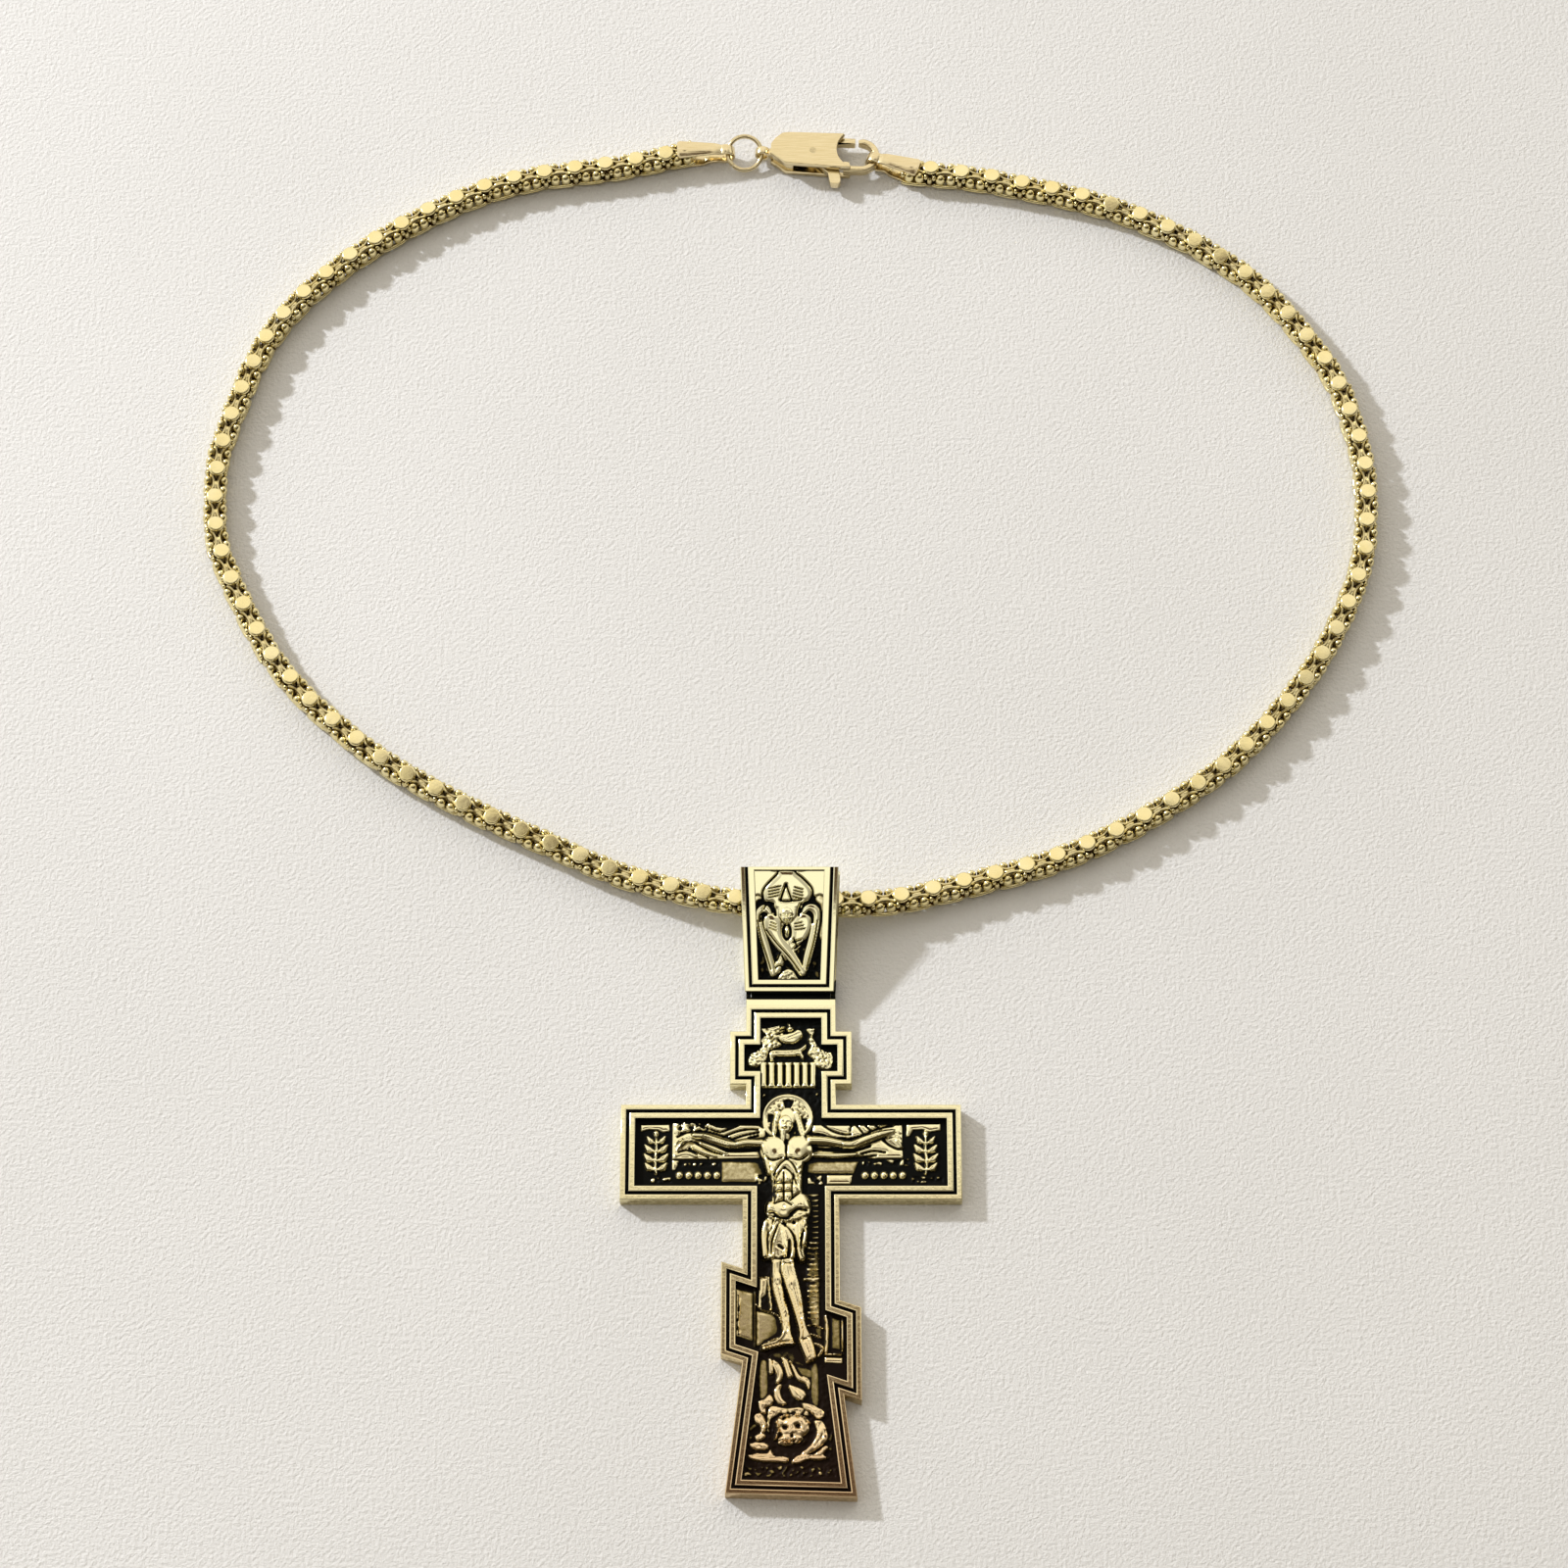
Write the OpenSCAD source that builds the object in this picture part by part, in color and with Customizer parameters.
// Crucifix necklace: a popcorn chain with a lobster clasp, a hinged bail and a cast cross.
// It lies on a level surface at z = 0. +X runs across the cross, +Y from the cross to the clasp.

/* [Chain] */
// Distance along the chain between two round heads
chain_pitch = 4.5; // [4.46:0.01:4.56]
// Width and height of the chain
chain_w = 3.5; // [3.5:0.02:3.54]
// Thickness of the wire in each link
link_wire_d = 0.54; // [0.5:0.01:0.54]
// Diameter of the flat round heads
head_d = 2.3; // [2.1:0.05:2.4]
// Thickness of the flat round heads
head_t = 0.55; // [0.45:0.01:0.6]

/* [Cross] */
// Width across the main arms
cross_w = 45.6; // [44.6:0.1:46.6]
// Height from the top edge to the foot
cross_h = 69.8; // [69:0.1:70.6]
// Height of the frame's face above the back
cross_t = 2.3; // [2.2:0.05:2.5]
// Depth of the field below the frame's face
field_depth = 0.9; // [0.7:0.05:1.1]
// Width of the outer ridge of the frame
outer_ridge_w = 0.75; // [0.65:0.01:0.8]
// Width of the groove between the two ridges
groove_w = 0.4; // [0.3:0.01:0.45]
// Width of the inner ridge of the frame
inner_ridge_w = 0.8; // [0.7:0.01:0.85]
// Slope of the lower bar in degrees
slant_deg = 19; // [16:0.5:21]

/* [Bail] */
// Width of the bail at its top
bail_top_w = 13.4; // [13.2:0.1:13.8]
// Width of the bail at the hinge
bail_low_w = 12.1; // [12.1:0.05:12.4]
// Height of the bail's front edge above the surface, before that edge is rounded
bail_depth = 8.6; // [8.2:0.1:9]
// Thickness of the bail's back wall and top wall
bail_wall = 1.1; // [1:0.05:1.15]

/* [Hinge] */
// Diameter of the hinge pin
hinge_pin_d = 0.68; // [0.6:0.02:0.7]
// Diameter of the cross's barrel
barrel_d = 1.7; // [1.6:0.02:1.74]

/* [Clasp] */
// Thickness of the clasp
clasp_t = 3.2; // [3.1:0.05:3.3]
// Thickness of each side plate of the clasp
clasp_plate_t = 0.8; // [0.7:0.02:0.8]
// Diameter of the lever's rivet
rivet_d = 1; // [0.9:0.02:1.04]
// Outer diameter of the jump ring
jump_ring_d = 5.5; // [5.4:0.02:5.6]
// Diameter of the jump ring's wire
jump_wire_d = 0.52; // [0.46:0.02:0.54]

/* [Hidden] */
gold = [0.86, 0.72, 0.42];
pale_gold = [0.87, 0.82, 0.55];

// Lines and outlines. An outline runs clockwise, so its inside is on the right of each edge.
function unit(v) = v / norm(v);
function right_of(u) = [u.y, -u.x];
function turned(v, a) = [v.x * cos(a) - v.y * sin(a), v.x * sin(a) + v.y * cos(a)];
function meet(p, u, q, v) = p + u * ((q - p) * right_of(v)) / (u * right_of(v));
function inset(pts, d) = [
    for (i = [0 : len(pts) - 1])
    let (n = len(pts), a = pts[(i + n - 1) % n], b = pts[i], c = pts[(i + 1) % n],
         u = unit(b - a), v = unit(c - b))
    meet(b + right_of(u) * d, u, b + right_of(v) * d, v)
];
// Each point holds x, y and the radius of its corner, which becomes an arc of six steps.
function rounded(pts) = [
    for (i = [0 : len(pts) - 1])
    let (n = len(pts), a = pts[(i + n - 1) % n], b = pts[i], c = pts[(i + 1) % n],
         p = [b.x, b.y], u = unit([a.x, a.y] - p), v = unit([c.x, c.y] - p),
         half = acos(u * v) / 2, centre = p + unit(u + v) * b.z / sin(half),
         from = p + u * b.z / tan(half) - centre, to = p + v * b.z / tan(half) - centre,
         start = atan2(from.y, from.x), turn = atan2(from.x * to.y - from.y * to.x, from * to))
    for (k = [0 : 6]) centre + b.z * [cos(start + turn * k / 6), sin(start + turn * k / 6)]
];
function block(x0, y0, x1, y1) = [[x1, y1], [x1, y0], [x0, y0], [x0, y1]];
// A leaf from a to b, widest in the middle and a third as wide at its ends
function leaf(a, b, w) =
    let (side = right_of(unit(b - a)), n = 6,
         half = [for (k = [0 : n]) w / 2 * (0.33 + 0.67 * sin(180 * k / n))])
    concat([for (k = [0 : n]) a + (b - a) * k / n - side * half[k]],
           [for (k = [n : -1 : 0]) a + (b - a) * k / n + side * half[k]]);

// Where the pendant lies
cross_top_y = -34.15;
hinge_y = -33.8;
hinge_z = 1.2;
hinge_gap = 0.1;
ear_t = 0.6;
ear_r = 0.85;
ear_web = [1.8, 1.16];

// End caps: a strip folded round the ring or the hook and riveted through the chain's last link
cap_left_len = 7.1;
cap_right_len = 6.6;
cap_mouth_w = 2.6;
cap_loop_w = 1.6;
cap_loop_r = 1.4;
cap_bore_r = 1;
cap_half_h = 1.6;
cap_leaf_t = 0.45;
cap_cavity = 4.2;
cap_post_in = 1.1;
cap_post_r = 0.45;
link_in_cap = 0.5;
cap_left_turn = 182;
cap_right_turn = -18;

// The clasp group. The clasp's own frame has its neck loop at the origin and its hook towards +X.
clasp_at = [-4.08, 100.7];
clasp_turn = -2;
jump_mid_r = (jump_ring_d - jump_wire_d) / 2;
jump_ring_at = [clasp_at.x - 0.15 - jump_mid_r, clasp_at.y];
jump_ring_tilt = 22;
neck_r = 1.1;
neck_bore_r = 0.68;
neck_w = 1.2;
hook_centre = [14.4, -0.2];
hook_outer_r = 2.8;
hook_bar_w = 0.93;
hook_bar_t = 1.4;
hook_tip_x = 14.05;
hook_root_x = [11.95, 13];
lever_at = [7.4, -0.2];
lever_t = 1.3;
lever_boss_r = 1.3;
rivet_gap = 0.04;

cap_left_at = [jump_ring_at.x - jump_mid_r - 0.34, jump_ring_at.y - 0.05];
cap_right_at = clasp_at + turned(hook_centre, clasp_turn)
    + turned([hook_outer_r - hook_bar_w / 2, 0], cap_right_turn);
chain_start = cap_left_at + turned([cap_left_len - link_in_cap, 0], cap_left_turn);
chain_end = cap_right_at + turned([cap_right_len - link_in_cap, 0], cap_right_turn);

// The chain's way from the left cap through the bail to the right cap: x, y, and its lift
// as a share of the bail's wall, which it lies on
route = [
    [chain_start.x, chain_start.y, 0], [-25, 98.3, 0], [-43.5, 94.6, 0], [-62, 84, 0],
    [-74.6, 70.5, 0], [-81, 52.5, 0], [-81.8, 43, 0], [-80.3, 33.2, 0], [-71.8, 16.5, 0],
    [-59.5, 4, 0], [-46.6, -4.3, 0], [-34.6, -10.3, 0], [-24, -15.3, 0.1], [-15, -18.3, 0.7],
    [-7, -20.1, 1], [0, -20.4, 1], [7, -20.4, 1], [15, -19.6, 0.7], [24.2, -17, 0.1],
    [36.4, -13.3, 0], [49, -7, 0], [61.8, 2.4, 0], [73, 15.9, 0], [79.9, 30.1, 0],
    [81.8, 41.5, 0], [81, 52.8, 0], [77, 65, 0], [66, 79.7, 0], [49.2, 90.3, 0],
    [30.5, 95.6, 0], [chain_end.x, chain_end.y, 0]
];
route_steps = 16;
chain_lift = bail_wall + 0.05;

// A smooth curve through the route's points, and its place at any distance along it
function spline(a, b, c, d, t) = 0.5 * (2 * b + (c - a) * t + (2 * a - 5 * b + 4 * c - d) * t * t
    + (3 * b - a - 3 * c + d) * t * t * t);
function route_point(i) = route[max(0, min(len(route) - 1, i))];
way = [
    for (i = [0 : len(route) - 2], k = [0 : route_steps - 1])
        spline(route_point(i - 1), route[i], route[i + 1], route_point(i + 2), k / route_steps),
    route[len(route) - 1]
];
way_3d = [for (p = way) [p.x, p.y, chain_w / 2 + chain_lift * max(0, p.z)]];
run = [for (i = 0, s = 0; i < len(way_3d);
            s = s + (i < len(way_3d) - 1 ? norm(way_3d[i + 1] - way_3d[i]) : 0), i = i + 1) s];
way_x = [for (i = [0 : len(run) - 1]) [run[i], way_3d[i].x]];
way_y = [for (i = [0 : len(run) - 1]) [run[i], way_3d[i].y]];
way_z = [for (i = [0 : len(run) - 1]) [run[i], way_3d[i].z]];
function place(s) = [lookup(s, way_x), lookup(s, way_y), lookup(s, way_z)];
chain_len = run[len(run) - 1];
head_count = round(chain_len / chain_pitch);
pitch = chain_len / head_count;

// Moves its children to a distance along the chain, with their X axis along it
module on_chain(s) {
    d = unit(place(min(s + 0.5, chain_len)) - place(max(s - 0.5, 0)));
    translate(place(s)) rotate([0, -asin(d.z), atan2(d.y, d.x)]) children();
}

// Wire ring of a link, lying flat, which just fills the chain's width
module link_ring() {
    rotate_extrude($fn = 32) translate([(chain_w - link_wire_d) / 2 - 0.01, 0])
        circle(d = link_wire_d, $fn = 32);
}

// Upright link with a flat round head at the top and at the bottom
module head_link() {
    head_r = head_d / 2;
    rotate([90, 0, 0]) link_ring();
    for (side = [0, 180]) rotate([side, 0, 0]) translate([0, 0, chain_w / 2 - head_t])
        rotate_extrude($fn = 40) polygon([
            [0, 0], [0.8 * head_r, 0], [head_r, 0.4 * head_t], [head_r, 0.66 * head_t],
            [0.84 * head_r, head_t], [0, head_t]]);
}

// Level link whose two side heads are split across the middle into two lobes each
module split_link() {
    lobe_r = 0.78;
    lobe_at = 0.8;
    lobe_t = 0.75;
    link_ring();
    for (side = [-1, 1], end = [-1, 1])
        translate([end * lobe_at, side * (chain_w / 2 - lobe_t), 0]) rotate([-90 * side, 0, 0])
            cylinder(h = lobe_t, r1 = lobe_r, r2 = 0.6 * lobe_r, $fn = 32);
}

// Links number from to, half a pitch apart. Even ones are split links, odd ones head links.
module links(from, to) {
    color(gold) for (k = [from : to]) on_chain(k * pitch / 2) {
        if (k % 2 == 0) split_link();
        else head_link();
    }
}
// The chain is one string of links. Its two nodes meet inside the bail.
module chain_left() { links(0, head_count); }
module chain_right() { links(head_count + 1, 2 * head_count); }

// Outline of the cross from its top corner clockwise. Its top edge can be lowered by drop,
// for the frame's lines, which leave a broad plain band there.
top_w = 12.1;
top_h = 4.7;
title_w = 16.4;
title_low = 12.4;
arm_y = 15.3;
arm_low = 28.8;
shaft_w = 12.9;
slant_w = 18.5;
slant_h = 12.85;
slant_mid = 47.1;
foot_w = 17.2;
foot_neck = [12.6, 50.5];
band_drop = 0.95;
function slant_y(x, side) = side * slant_h / 2 - slant_mid - x * tan(slant_deg);
function foot_meet(side) = meet([0, slant_y(0, -1)], [cos(slant_deg), -sin(slant_deg)],
    [side * foot_w / 2, -cross_h],
    unit([side * (foot_neck.x - foot_w) / 2, cross_h - foot_neck.y]));
function cross_outline(drop) = [
    [top_w / 2, -drop], [top_w / 2, -top_h], [title_w / 2, -top_h],
    [title_w / 2, -title_low], [top_w / 2, -title_low], [top_w / 2, -arm_y],
    [cross_w / 2, -arm_y], [cross_w / 2, -arm_low], [shaft_w / 2, -arm_low],
    [shaft_w / 2, slant_y(shaft_w / 2, 1)], [slant_w / 2, slant_y(slant_w / 2, 1)],
    [slant_w / 2, slant_y(slant_w / 2, -1)], foot_meet(1), [foot_w / 2, -cross_h],
    [-foot_w / 2, -cross_h], foot_meet(-1), [-slant_w / 2, slant_y(-slant_w / 2, -1)],
    [-slant_w / 2, slant_y(-slant_w / 2, 1)], [-shaft_w / 2, slant_y(-shaft_w / 2, 1)],
    [-shaft_w / 2, -arm_low], [-cross_w / 2, -arm_low], [-cross_w / 2, -arm_y],
    [-top_w / 2, -arm_y], [-top_w / 2, -title_low], [-title_w / 2, -title_low],
    [-title_w / 2, -top_h], [-top_w / 2, -top_h], [-top_w / 2, -drop]
];
frame_w = outer_ridge_w + groove_w + inner_ridge_w;
groove_depth = 0.5;

// Raised work on a field: a shape with a step round its top, its foot sunk into the field
sunk = 0.3;
module raised(pts, h, step = 0.2) {
    translate([0, 0, -sunk]) {
        linear_extrude(sunk + 0.6 * h) polygon(pts);
        linear_extrude(sunk + h) polygon(inset(pts, step));
    }
}
// A rounded limb lying on the field, its radius changing from one end to the other
module limb(a, b, ra, rb, z = -0.15) {
    d = b - a;
    translate([a.x, a.y, z]) {
        rotate([0, 0, atan2(d.y, d.x)]) rotate([0, 90, 0])
            cylinder(h = norm(d), r1 = ra, r2 = rb, $fn = 24);
        sphere(1.04 * ra, $fn = 24);
        translate(d) sphere(1.04 * rb, $fn = 24);
    }
}

// The figure with its halo, on a crossbeam and a sloping footrest
module figure() {
    raised(block(-15.6, -22.8, 15.2, -17.6), 0.25);
    difference() {
        translate([-0.1, -17.4, -sunk]) cylinder(h = sunk + 0.5, r = 3.5, $fn = 48);
        for (a = [0, 90, 180]) translate([-0.1, -17.4, 0.25]) rotate([0, 0, a])
            translate([2.3, 0, 0.5]) cube([1.4, 1.1, 1], center = true);
    }
    limb([-0.2, -16.9], [-0.6, -19.3], 1.35, 0.85, 0.1);
    for (side = [-1, 1]) {
        limb([side * 3.2, -21.3], [side * 7.2, -21.4 + side * 0.3], 1.05, 0.75);
        limb([side * 7.2, -21.4 + side * 0.3], [side * 12.6, -20.8 + side * 0.5], 0.8, 0.5);
        limb([side * 12.6, -20.8 + side * 0.5], [side * 14.6, -20.4 + side * 0.6], 0.5, 0.4);
    }
    raised([[3.5, -20.6], [3.2, -23.6], [2.1, -27], [2, -30.6], [-2.2, -30.6], [-2.5, -27],
            [-3.6, -23.6], [-4, -20.6]], 0.95, 0.35);
    raised([[2.2, -30.2], [3, -32], [2.8, -36.8], [1.6, -37.8], [-2.6, -37.6], [-3.4, -36.4],
            [-3.2, -31.6], [-2.4, -30.2]], 1.05, 0.35);
    limb([1.1, -36.8], [0.5, -40], 1.1, 0.9);
    limb([0.5, -40], [2, -48.6], 0.95, 0.55);
    limb([2, -48.6], [3.1, -51.2], 0.55, 0.45);
    limb([-1.5, -36.8], [-1.9, -39.6], 1.1, 0.9);
    limb([-1.9, -39.6], [-1.9, -46.6], 0.95, 0.55);
    limb([-1.9, -46.6], [-3, -49], 0.55, 0.45);
    raised([[4, -52], [4, -53.6], [-3.6, -51], [-3.6, -49.4]], 0.45);
}

// What stands round the figure: title plate, scroll, cloud, end ornaments, reed, hill and skull
module surroundings() {
    difference() {
        raised(block(-3.8, -12.9, 3.8, -9.1), 0.5);
        for (k = [-2 : 2]) translate([1.3 * k, -11, 0.6]) cube([0.35, 2.6, 0.8], center = true);
    }
    raised(leaf([-3, -8.2], [3, -7], 1.3), 0.4);
    raised(leaf([-2.6, -5.6], [2.4, -4], 2.2), 0.5);
    for (side = [-1, 1]) {
        raised(leaf([side * 18, -24.6], [side * 18, -19.4], 1.7), 0.35);
        for (k = [-1, 1]) raised(leaf([side * 18 - k * 0.9, -22], [side * 18 - k * 2, -22], 1), 0.3);
        for (k = [0 : 3]) translate([side * (9 + 1.6 * k), -25.2, 0]) sphere(0.42, $fn = 24);
        raised(block(side * 6.2 - 2.4, -25.8, side * 6.2 + 2.4, -24), 0.2);
    }
    raised(block(2.4, -40.2, 3.8, -30.4), 0.25);
    for (k = [0 : 9]) raised(block(2.4, -40 + k, 3.8, -39.6 + k), 0.45, 0.08);
    raised(leaf([-3.2, -57], [-0.6, -54.2], 1.3), 0.5);
    raised(leaf([0.4, -57.4], [1.4, -53.6], 1.2), 0.5);
    raised(leaf([3.6, -58], [2.4, -55], 1.2), 0.5);
    intersection() {
        limb([0.3, -60.2], [0.5, -62.2], 1.9, 1.3, -0.6);
        translate([-3, -65, -sunk]) cube([6, 8, 3]);
    }
    for (side = [-1, 1]) {
        raised(leaf([side * 4.8, -64.6], [side * 3.2, -59.4], 1.6), 0.5);
        raised(leaf([side * 1, -65.2], [side * 4.4, -66], 1), 0.4);
    }
}

module cross() {
    line = cross_outline(band_drop);
    face = outer_ridge_w + groove_w;
    color(pale_gold) translate([0, cross_top_y, 0]) {
        difference() {
            union() {
                linear_extrude(cross_t) polygon(cross_outline(0));
                translate([0, hinge_y - cross_top_y, hinge_z]) rotate([0, 90, 0])
                    cylinder(h = bail_low_w - 2 * (ear_t + hinge_gap), d = barrel_d, center = true, $fn = 48);
            }
            translate([0, 0, cross_t - groove_depth]) linear_extrude(1) difference() {
                polygon(inset(line, outer_ridge_w));
                polygon(inset(line, face));
            }
            translate([0, 0, cross_t - field_depth]) linear_extrude(2) polygon(inset(line, frame_w));
            translate([0, 0, cross_t]) rotate([45, 0, 0]) cube([2 * top_w, 0.35, 0.35], center = true);
            translate([0, hinge_y - cross_top_y, hinge_z]) rotate([0, 90, 0]) {
                cylinder(h = 2 * top_w, d = hinge_pin_d + 0.12, center = true, $fn = 48);
                for (side = [-1, 1]) translate([0, 0, side * bail_low_w / 2])
                    cylinder(h = 2 * (ear_t + hinge_gap), r = ear_r + 0.12, center = true, $fn = 48);
            }
        }
        translate([0, 0, cross_t - field_depth]) {
            figure();
            surroundings();
        }
    }
}

// Bail in side view, as (y, z) with corner radii. Its front face slopes up from the hinge.
bail_top_y = -17;
bail_front_y = -33.35;
bail_front_z = 2.95;
bail_front_t = 1.48;
front_slope = (bail_depth - bail_front_z) / (bail_top_y - bail_front_y);
function front_z(y) = bail_front_z + (y - bail_front_y) * front_slope;
bail_outer = [
    [-32.2, 0, 0.2], [-32.65, 1.2, 0.2], [bail_front_y, 2.3, 0.1], [bail_front_y, bail_front_z, 0.15],
    [bail_top_y, bail_depth, 0.8], [bail_top_y, 0, 2.2]
];
bail_inner = [
    [-31.2, bail_wall, 0.3], [-31.2, front_z(-31.2) - bail_front_t, 0.3],
    [bail_top_y - bail_wall, front_z(bail_top_y - bail_wall) - bail_front_t, 0.8],
    [bail_top_y - bail_wall, bail_wall, 1.1]
];
panel_len = norm([bail_top_y - bail_front_y, bail_depth - bail_front_z]);
function bail_half_w(v) = (bail_low_w + (bail_top_w - bail_low_w) * v / panel_len) / 2;
function panel(d, low, high) = [
    [bail_half_w(high) - d, high], [bail_half_w(low) - d, low],
    [d - bail_half_w(low), low], [d - bail_half_w(high), high]
];

// Moves its children from (across, up the panel, out of it) to the bail's sloping front face
module on_panel() {
    translate([0, bail_front_y, bail_front_z]) rotate([atan(front_slope), 0, 0]) children();
}
module side_prism(pts) {
    translate([-bail_top_w, 0, 0]) rotate([90, 0, 90]) linear_extrude(2 * bail_top_w) polygon(pts);
}

// Six-winged figure on the bail: a face among three pairs of wings
module winged_figure() {
    for (side = [-1, 1]) {
        raised(leaf([side * 0.5, 15.4], [side * 2.5, 11], 2), 0.4);
        raised(leaf([side * 1.4, 10.6], [side * 3.3, 9.6], 1.2), 0.45);
        raised(leaf([side * 3.3, 9.8], [side * 1.9, 2.2], 1.3), 0.4);
    }
    raised(leaf([-2.4, 9.2], [2.4, 2.4], 1.9), 0.5);
    raised(leaf([2.4, 9.2], [-1.4, 2.6], 1.7), 0.35);
    translate([0, 9.3, -0.9]) sphere(1.5, $fn = 24);
}

module bail() {
    recess = 0.7;
    groove = outer_ridge_w + groove_w;
    field = outer_ridge_w + groove_w + 0.7;
    color(pale_gold) {
        difference() {
            intersection() {
                side_prism(rounded(bail_outer));
                translate([0, 0, -1]) linear_extrude(bail_depth + 2)
                    polygon([[bail_top_w / 2, bail_top_y + 1], [bail_low_w / 2, bail_front_y - 1],
                             [-bail_low_w / 2, bail_front_y - 1], [-bail_top_w / 2, bail_top_y + 1]]);
            }
            side_prism(rounded(bail_inner));
            on_panel() {
                translate([0, 0, -0.4]) linear_extrude(2) difference() {
                    polygon(panel(outer_ridge_w, 0.75, panel_len + 3));
                    polygon(panel(groove, 1.15, panel_len + 4));
                }
                translate([0, 0, -recess]) linear_extrude(2)
                    polygon(panel(field, 1.85, panel_len - 1.2));
            }
            translate([0, hinge_y, hinge_z]) rotate([0, 90, 0]) {
                cylinder(h = bail_low_w - 2 * ear_t, r = ear_r + 0.15, center = true, $fn = 48);
            }
        }
        on_panel() translate([0, 0, -recess]) winged_figure();
        difference() {
            for (side = [-1, 1]) translate([side * (bail_low_w - ear_t) / 2, hinge_y, hinge_z]) {
                rotate([0, 90, 0]) cylinder(h = ear_t, r = ear_r, center = true, $fn = 48);
                translate([0, ear_web.x / 2, 0.12]) cube([ear_t, ear_web.x, ear_web.y], center = true);
            }
            translate([0, hinge_y, hinge_z]) rotate([0, 90, 0])
                cylinder(h = 2 * bail_low_w, d = hinge_pin_d + 0.06, center = true, $fn = 48);
        }
    }
}

module hinge_pin() {
    color(gold) translate([0, hinge_y, hinge_z]) rotate([0, 90, 0])
        cylinder(h = bail_low_w, d = hinge_pin_d, center = true, $fn = 48);
}

// End cap in its own frame: its loop round the origin, its mouth towards +X
module end_cap(at, turn, length) {
    back = length - cap_cavity;
    color(gold) translate([at.x, at.y, chain_w / 2]) rotate([0, 0, turn]) {
        difference() {
            intersection() {
                rotate([90, 0, 0]) linear_extrude(2 * cap_mouth_w, center = true) {
                    circle(r = cap_loop_r, $fn = 48);
                    polygon([[0, -0.5], [0, cap_loop_r], [back - 0.8, cap_half_h], [length, cap_half_h],
                             [length, -cap_half_h], [back, -cap_half_h], [back - 0.6, -0.5]]);
                }
                translate([0, 0, -2 * cap_half_h]) linear_extrude(4 * cap_half_h) polygon(rounded([
                    [-cap_loop_r - 0.2, cap_loop_w / 2, 0.3], [length, cap_mouth_w / 2, 0.6],
                    [length, -cap_mouth_w / 2, 0.6], [-cap_loop_r - 0.2, -cap_loop_w / 2, 0.3]]));
            }
            rotate([90, 0, 0]) cylinder(h = 2 * cap_mouth_w, r = cap_bore_r, center = true, $fn = 48);
            translate([back, -cap_mouth_w, cap_leaf_t - cap_half_h])
                cube([cap_cavity + 1, 2 * cap_mouth_w, 2 * (cap_half_h - cap_leaf_t)]);
        }
        translate([length - cap_post_in, 0, 0])
            cylinder(h = 2 * (cap_half_h - 0.1), r = cap_post_r, center = true, $fn = 48);
    }
}
module end_cap_left() { end_cap(cap_left_at, cap_left_turn, cap_left_len); }
module end_cap_right() { end_cap(cap_right_at, cap_right_turn, cap_right_len); }

module jump_ring() {
    color(gold) translate([jump_ring_at.x, jump_ring_at.y, chain_w / 2]) rotate([jump_ring_tilt, 0, 0])
        rotate_extrude($fn = 64) translate([jump_mid_r, 0]) circle(d = jump_wire_d, $fn = 48);
}

module in_clasp() {
    translate([clasp_at.x, clasp_at.y, chain_w / 2]) rotate([0, 0, clasp_turn]) children();
}
module window() {
    translate(hook_centre) circle(r = hook_outer_r - hook_bar_w, $fn = 64);
    translate([hook_centre.x - 2, hook_centre.y + hook_bar_w - hook_outer_r])
        square([2, 2 * (hook_outer_r - hook_bar_w)]);
    translate([13.2, 0.7]) circle(r = 3, $fn = 64);
}

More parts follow.
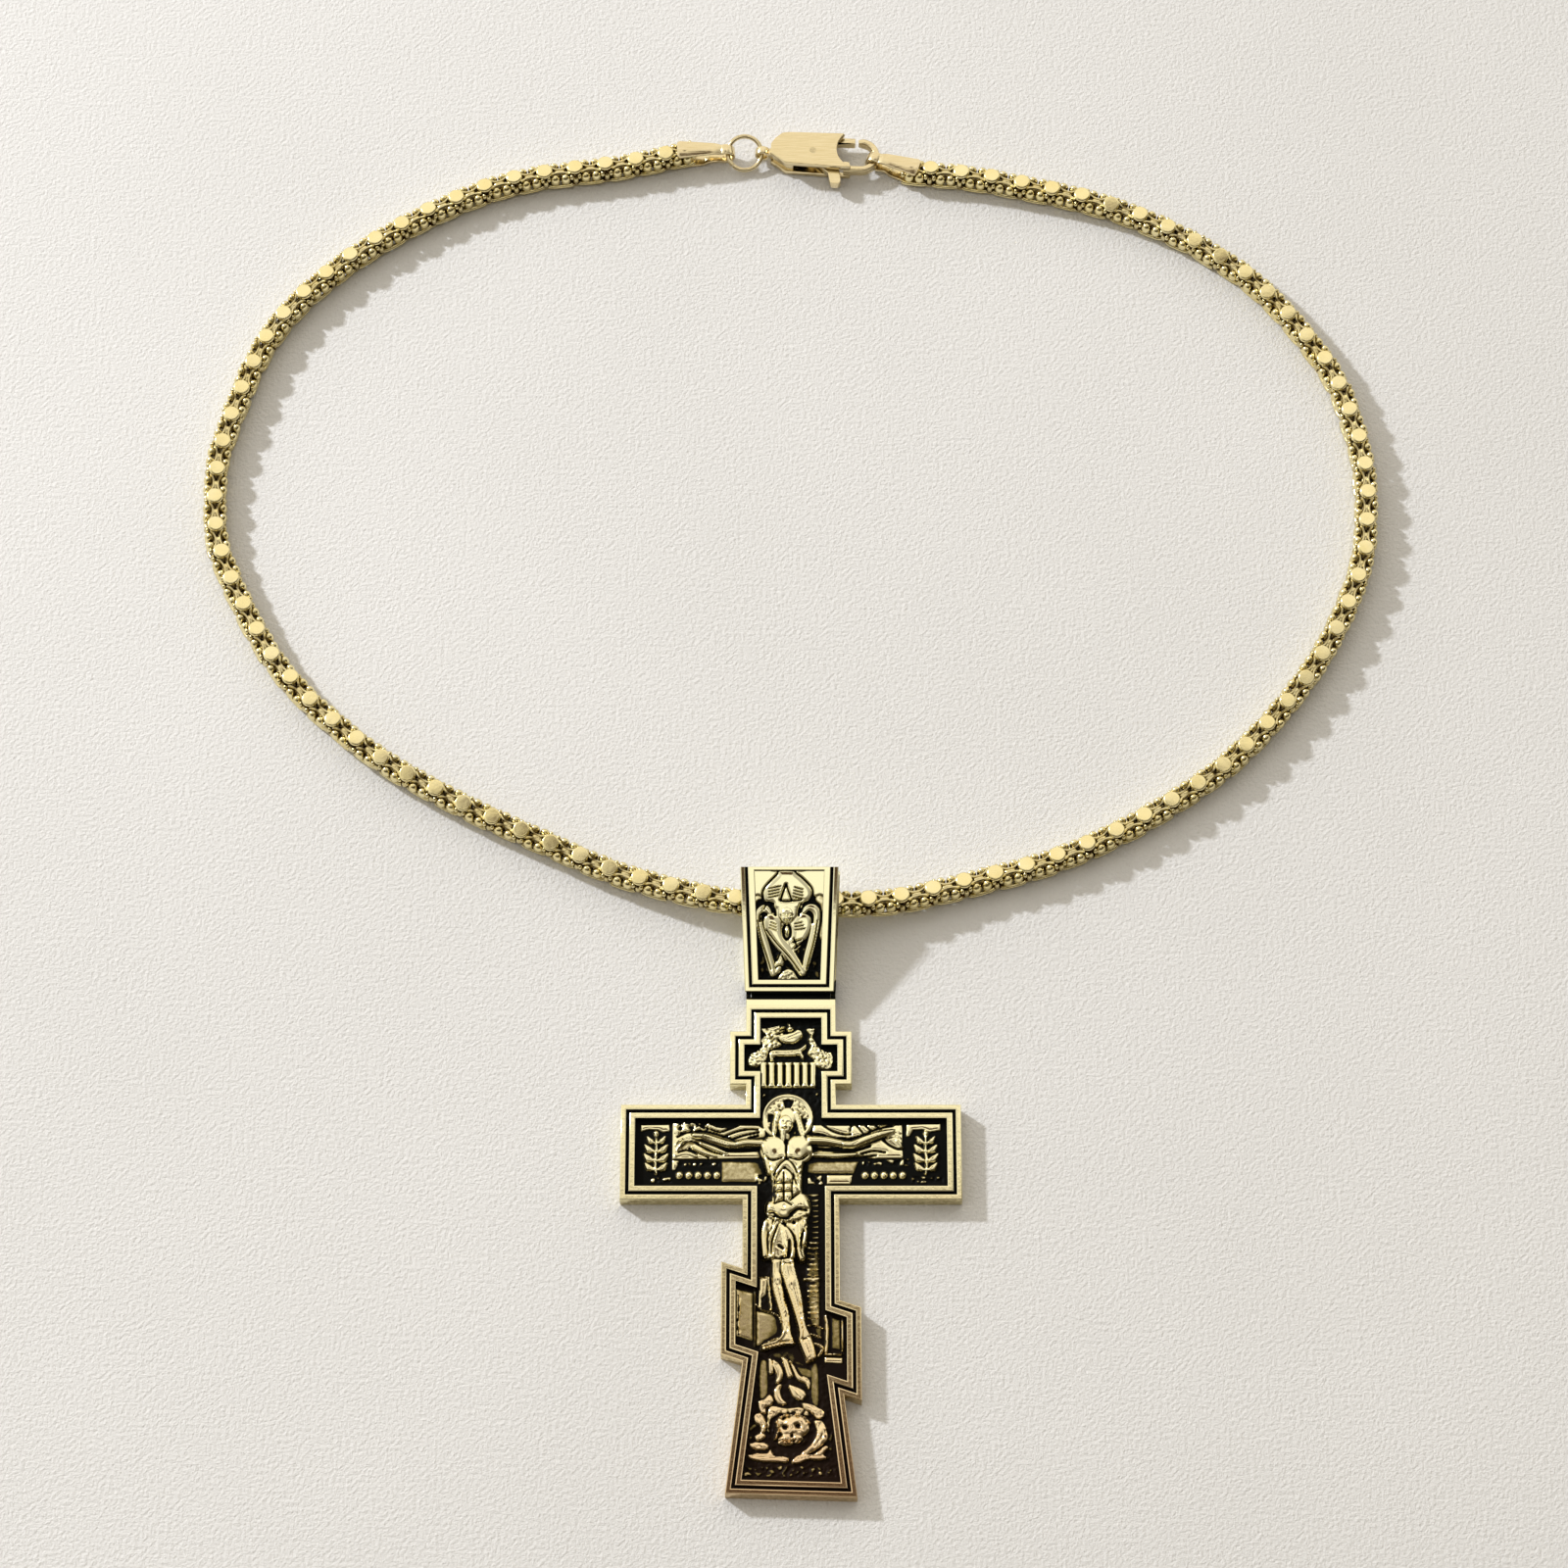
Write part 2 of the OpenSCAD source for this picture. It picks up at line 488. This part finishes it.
// Two plates joined at the neck, along the far edge and at the root of the hook
module clasp_body() {
    inner_t = clasp_t - 2 * clasp_plate_t;
    low_y = hook_centre.y - hook_outer_r;
    color(gold) in_clasp() difference() {
        union() {
            translate([0, 0, -clasp_t / 2]) linear_extrude(clasp_t) difference() {
                polygon(rounded([[1.2, 0.8, 0.4], [3.8, 2.85, 0.9], [10.7, 2.85, 0.2], [10.7, -1.2, 0.3],
                                 [hook_root_x.y, -1.6, 0.1], [hook_root_x.y, low_y, 0.1],
                                 [11.5, low_y, 0.6], [3.4, -2.5, 0.8], [1.2, -0.9, 0.4]]));
                intersection() {
                    window();
                    translate([9, low_y + hook_bar_w]) square([10, 10]);
                }
            }
            translate([0, 0, -hook_bar_t / 2]) linear_extrude(hook_bar_t) difference() {
                union() {
                    translate(hook_centre) circle(r = hook_outer_r, $fn = 64);
                    translate([hook_root_x.x, low_y]) square([hook_centre.x - hook_root_x.x, hook_bar_w]);
                }
                translate(hook_centre) circle(r = hook_outer_r - hook_bar_w, $fn = 64);
                translate([hook_tip_x - 6, low_y + hook_bar_w]) square([6, 6]);
            }
            rotate([90, 0, 0]) cylinder(h = neck_w, r = neck_r, center = true, $fn = 48);
            translate([0.8, -neck_w / 2, -0.6]) cube([1, neck_w, 1.2]);
        }
        translate([0, 0, -inner_t / 2]) linear_extrude(inner_t)
            polygon([[4.6, -4], [4.6, 2.2], [9.6, 2.2], [9.6, 4], [11.9, 4], [11.9, -4]]);
        rotate([90, 0, 0]) cylinder(h = 2 * neck_r, r = neck_bore_r, center = true, $fn = 48);
        translate(lever_at) cylinder(h = 2 * clasp_t, d = rivet_d + 2 * rivet_gap, center = true, $fn = 48);
    }
}

// Lever in one piece: a boss on the rivet, the gate that closes the hook, and the thumb tab
module clasp_lever() {
    gate_y = [hook_centre.y + hook_outer_r - hook_bar_w, hook_centre.y + hook_outer_r];
    color(gold) in_clasp() difference() {
        union() {
            translate(lever_at) cylinder(h = lever_t, r = lever_boss_r, center = true, $fn = 48);
            translate([0, 0, -lever_t / 2]) linear_extrude(lever_t)
                polygon(rounded([
                    [7.4, 1, 0.1], [9.8, 1.9, 0.5], [10, gate_y.y, 0.1], [13.6, gate_y.y, 0.1],
                    [13.6, gate_y.x, 0.1], [10.7, gate_y.x, 0.3], [9.2, -0.2, 0.3],
                    [11.4, -2.9, 0.8], [11.7, -5.3, 0.6], [10.1, -5.3, 0.6], [9.7, -3.4, 0.6],
                    [7.4, -1.2, 0.1]]));
        }
        translate(lever_at) cylinder(h = 2 * lever_t, d = rivet_d + 2 * rivet_gap, center = true, $fn = 48);
    }
}

module lever_pin() {
    color(gold) in_clasp() translate(lever_at) cylinder(h = clasp_t, d = rivet_d, center = true, $fn = 48);
}

cross();
bail();
hinge_pin();
chain_left();
chain_right();
end_cap_left();
end_cap_right();
jump_ring();
clasp_body();
clasp_lever();
lever_pin();
